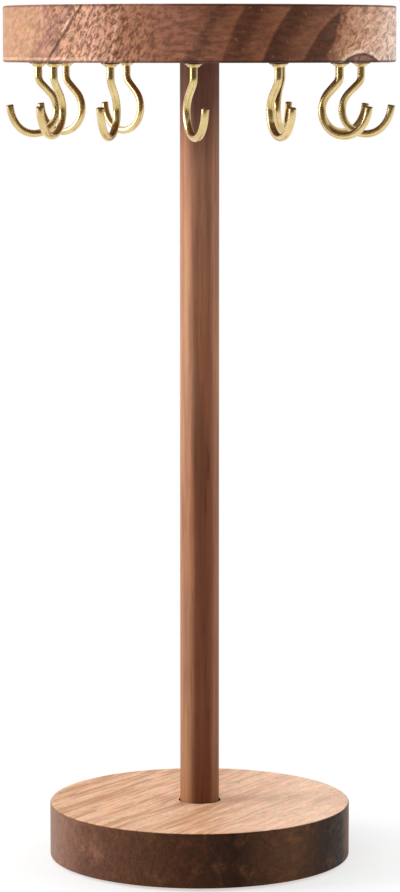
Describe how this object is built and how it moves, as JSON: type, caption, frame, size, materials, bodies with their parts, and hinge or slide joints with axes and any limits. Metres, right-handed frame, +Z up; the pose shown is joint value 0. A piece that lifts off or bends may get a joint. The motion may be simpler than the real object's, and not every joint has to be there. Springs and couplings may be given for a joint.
{
  "type": "jewelry tree",
  "caption": "Standing jewelry tree: a wider wooden top disc on a slim pole that turns in a round base, with a ring of brass screw hooks under the disc for necklaces.",
  "frame": {"origin": "on the pole's axis, on the surface that the foot pads rest on", "axes": "+Z up along the pole; -Y towards the front as pictured; +X to the right seen from the front"},
  "size_m": [0.141, 0.141, 0.311],
  "materials": {
    "stained_wood": "solid wood, brown stain under thin satin lacquer",
    "hook_brass": "polished brass plate",
    "bush_brass": "turned brass",
    "zinc_steel": "bright zinc plate",
    "washer_nylon": "natural nylon",
    "pad_rubber": "matt die-cut rubber"
  },
  "bodies": {
    "base": {"base_disc": "stained_wood", "foot_pad_1": "pad_rubber", "foot_pad_2": "pad_rubber", "foot_pad_3": "pad_rubber", "foot_pad_4": "pad_rubber", "pivot_bush": "bush_brass", "thrust_washer": "washer_nylon", "head_washer": "zinc_steel"},
    "column": {"pole": "stained_wood", "pole_insert": "bush_brass", "pivot_screw": "zinc_steel", "dowel_screw": "zinc_steel", "top_disc": "stained_wood"},
    "hook_01": {"hook_01": "hook_brass", "hook_collar_01": "hook_brass"},
    "hook_02": {"hook_02": "hook_brass", "hook_collar_02": "hook_brass"},
    "hook_03": {"hook_03": "hook_brass", "hook_collar_03": "hook_brass"},
    "hook_04": {"hook_04": "hook_brass", "hook_collar_04": "hook_brass"},
    "hook_05": {"hook_05": "hook_brass", "hook_collar_05": "hook_brass"},
    "hook_06": {"hook_06": "hook_brass", "hook_collar_06": "hook_brass"},
    "hook_07": {"hook_07": "hook_brass", "hook_collar_07": "hook_brass"},
    "hook_08": {"hook_08": "hook_brass", "hook_collar_08": "hook_brass"},
    "hook_09": {"hook_09": "hook_brass", "hook_collar_09": "hook_brass"},
    "hook_10": {"hook_10": "hook_brass", "hook_collar_10": "hook_brass"},
    "hook_11": {"hook_11": "hook_brass", "hook_collar_11": "hook_brass"},
    "hook_12": {"hook_12": "hook_brass", "hook_collar_12": "hook_brass"}
  },
  "joints": [
    {"name": "column_turn", "type": "hinge", "parent": "base", "child": "column", "pos_m": [0, 0, 0.0185], "axis": [0, 0, 1], "continuous": true},
    {"name": "hook_01_turn", "type": "hinge", "parent": "column", "child": "hook_01", "pos_m": [-0.00202, -0.05797, 0.291], "axis": [0, 0, 1], "range_deg": [-90, 90]},
    {"name": "hook_02_turn", "type": "hinge", "parent": "column", "child": "hook_02", "pos_m": [0.02723, -0.05121, 0.291], "axis": [0, 0, 1], "range_deg": [-90, 90]},
    {"name": "hook_03_turn", "type": "hinge", "parent": "column", "child": "hook_03", "pos_m": [0.04919, -0.03073, 0.291], "axis": [0, 0, 1], "range_deg": [-90, 90]},
    {"name": "hook_04_turn", "type": "hinge", "parent": "column", "child": "hook_04", "pos_m": [0.05797, -0.00202, 0.291], "axis": [0, 0, 1], "range_deg": [-90, 90]},
    {"name": "hook_05_turn", "type": "hinge", "parent": "column", "child": "hook_05", "pos_m": [0.05121, 0.02723, 0.291], "axis": [0, 0, 1], "range_deg": [-90, 90]},
    {"name": "hook_06_turn", "type": "hinge", "parent": "column", "child": "hook_06", "pos_m": [0.03073, 0.04919, 0.291], "axis": [0, 0, 1], "range_deg": [-90, 90]},
    {"name": "hook_07_turn", "type": "hinge", "parent": "column", "child": "hook_07", "pos_m": [0.00202, 0.05797, 0.291], "axis": [0, 0, 1], "range_deg": [-90, 90]},
    {"name": "hook_08_turn", "type": "hinge", "parent": "column", "child": "hook_08", "pos_m": [-0.02723, 0.05121, 0.291], "axis": [0, 0, 1], "range_deg": [-90, 90]},
    {"name": "hook_09_turn", "type": "hinge", "parent": "column", "child": "hook_09", "pos_m": [-0.04919, 0.03073, 0.291], "axis": [0, 0, 1], "range_deg": [-90, 90]},
    {"name": "hook_10_turn", "type": "hinge", "parent": "column", "child": "hook_10", "pos_m": [-0.05797, 0.00202, 0.291], "axis": [0, 0, 1], "range_deg": [-90, 90]},
    {"name": "hook_11_turn", "type": "hinge", "parent": "column", "child": "hook_11", "pos_m": [-0.05121, -0.02723, 0.291], "axis": [0, 0, 1], "range_deg": [-90, 90]},
    {"name": "hook_12_turn", "type": "hinge", "parent": "column", "child": "hook_12", "pos_m": [-0.03073, -0.04919, 0.291], "axis": [0, 0, 1], "range_deg": [-90, 90]}
  ]
}
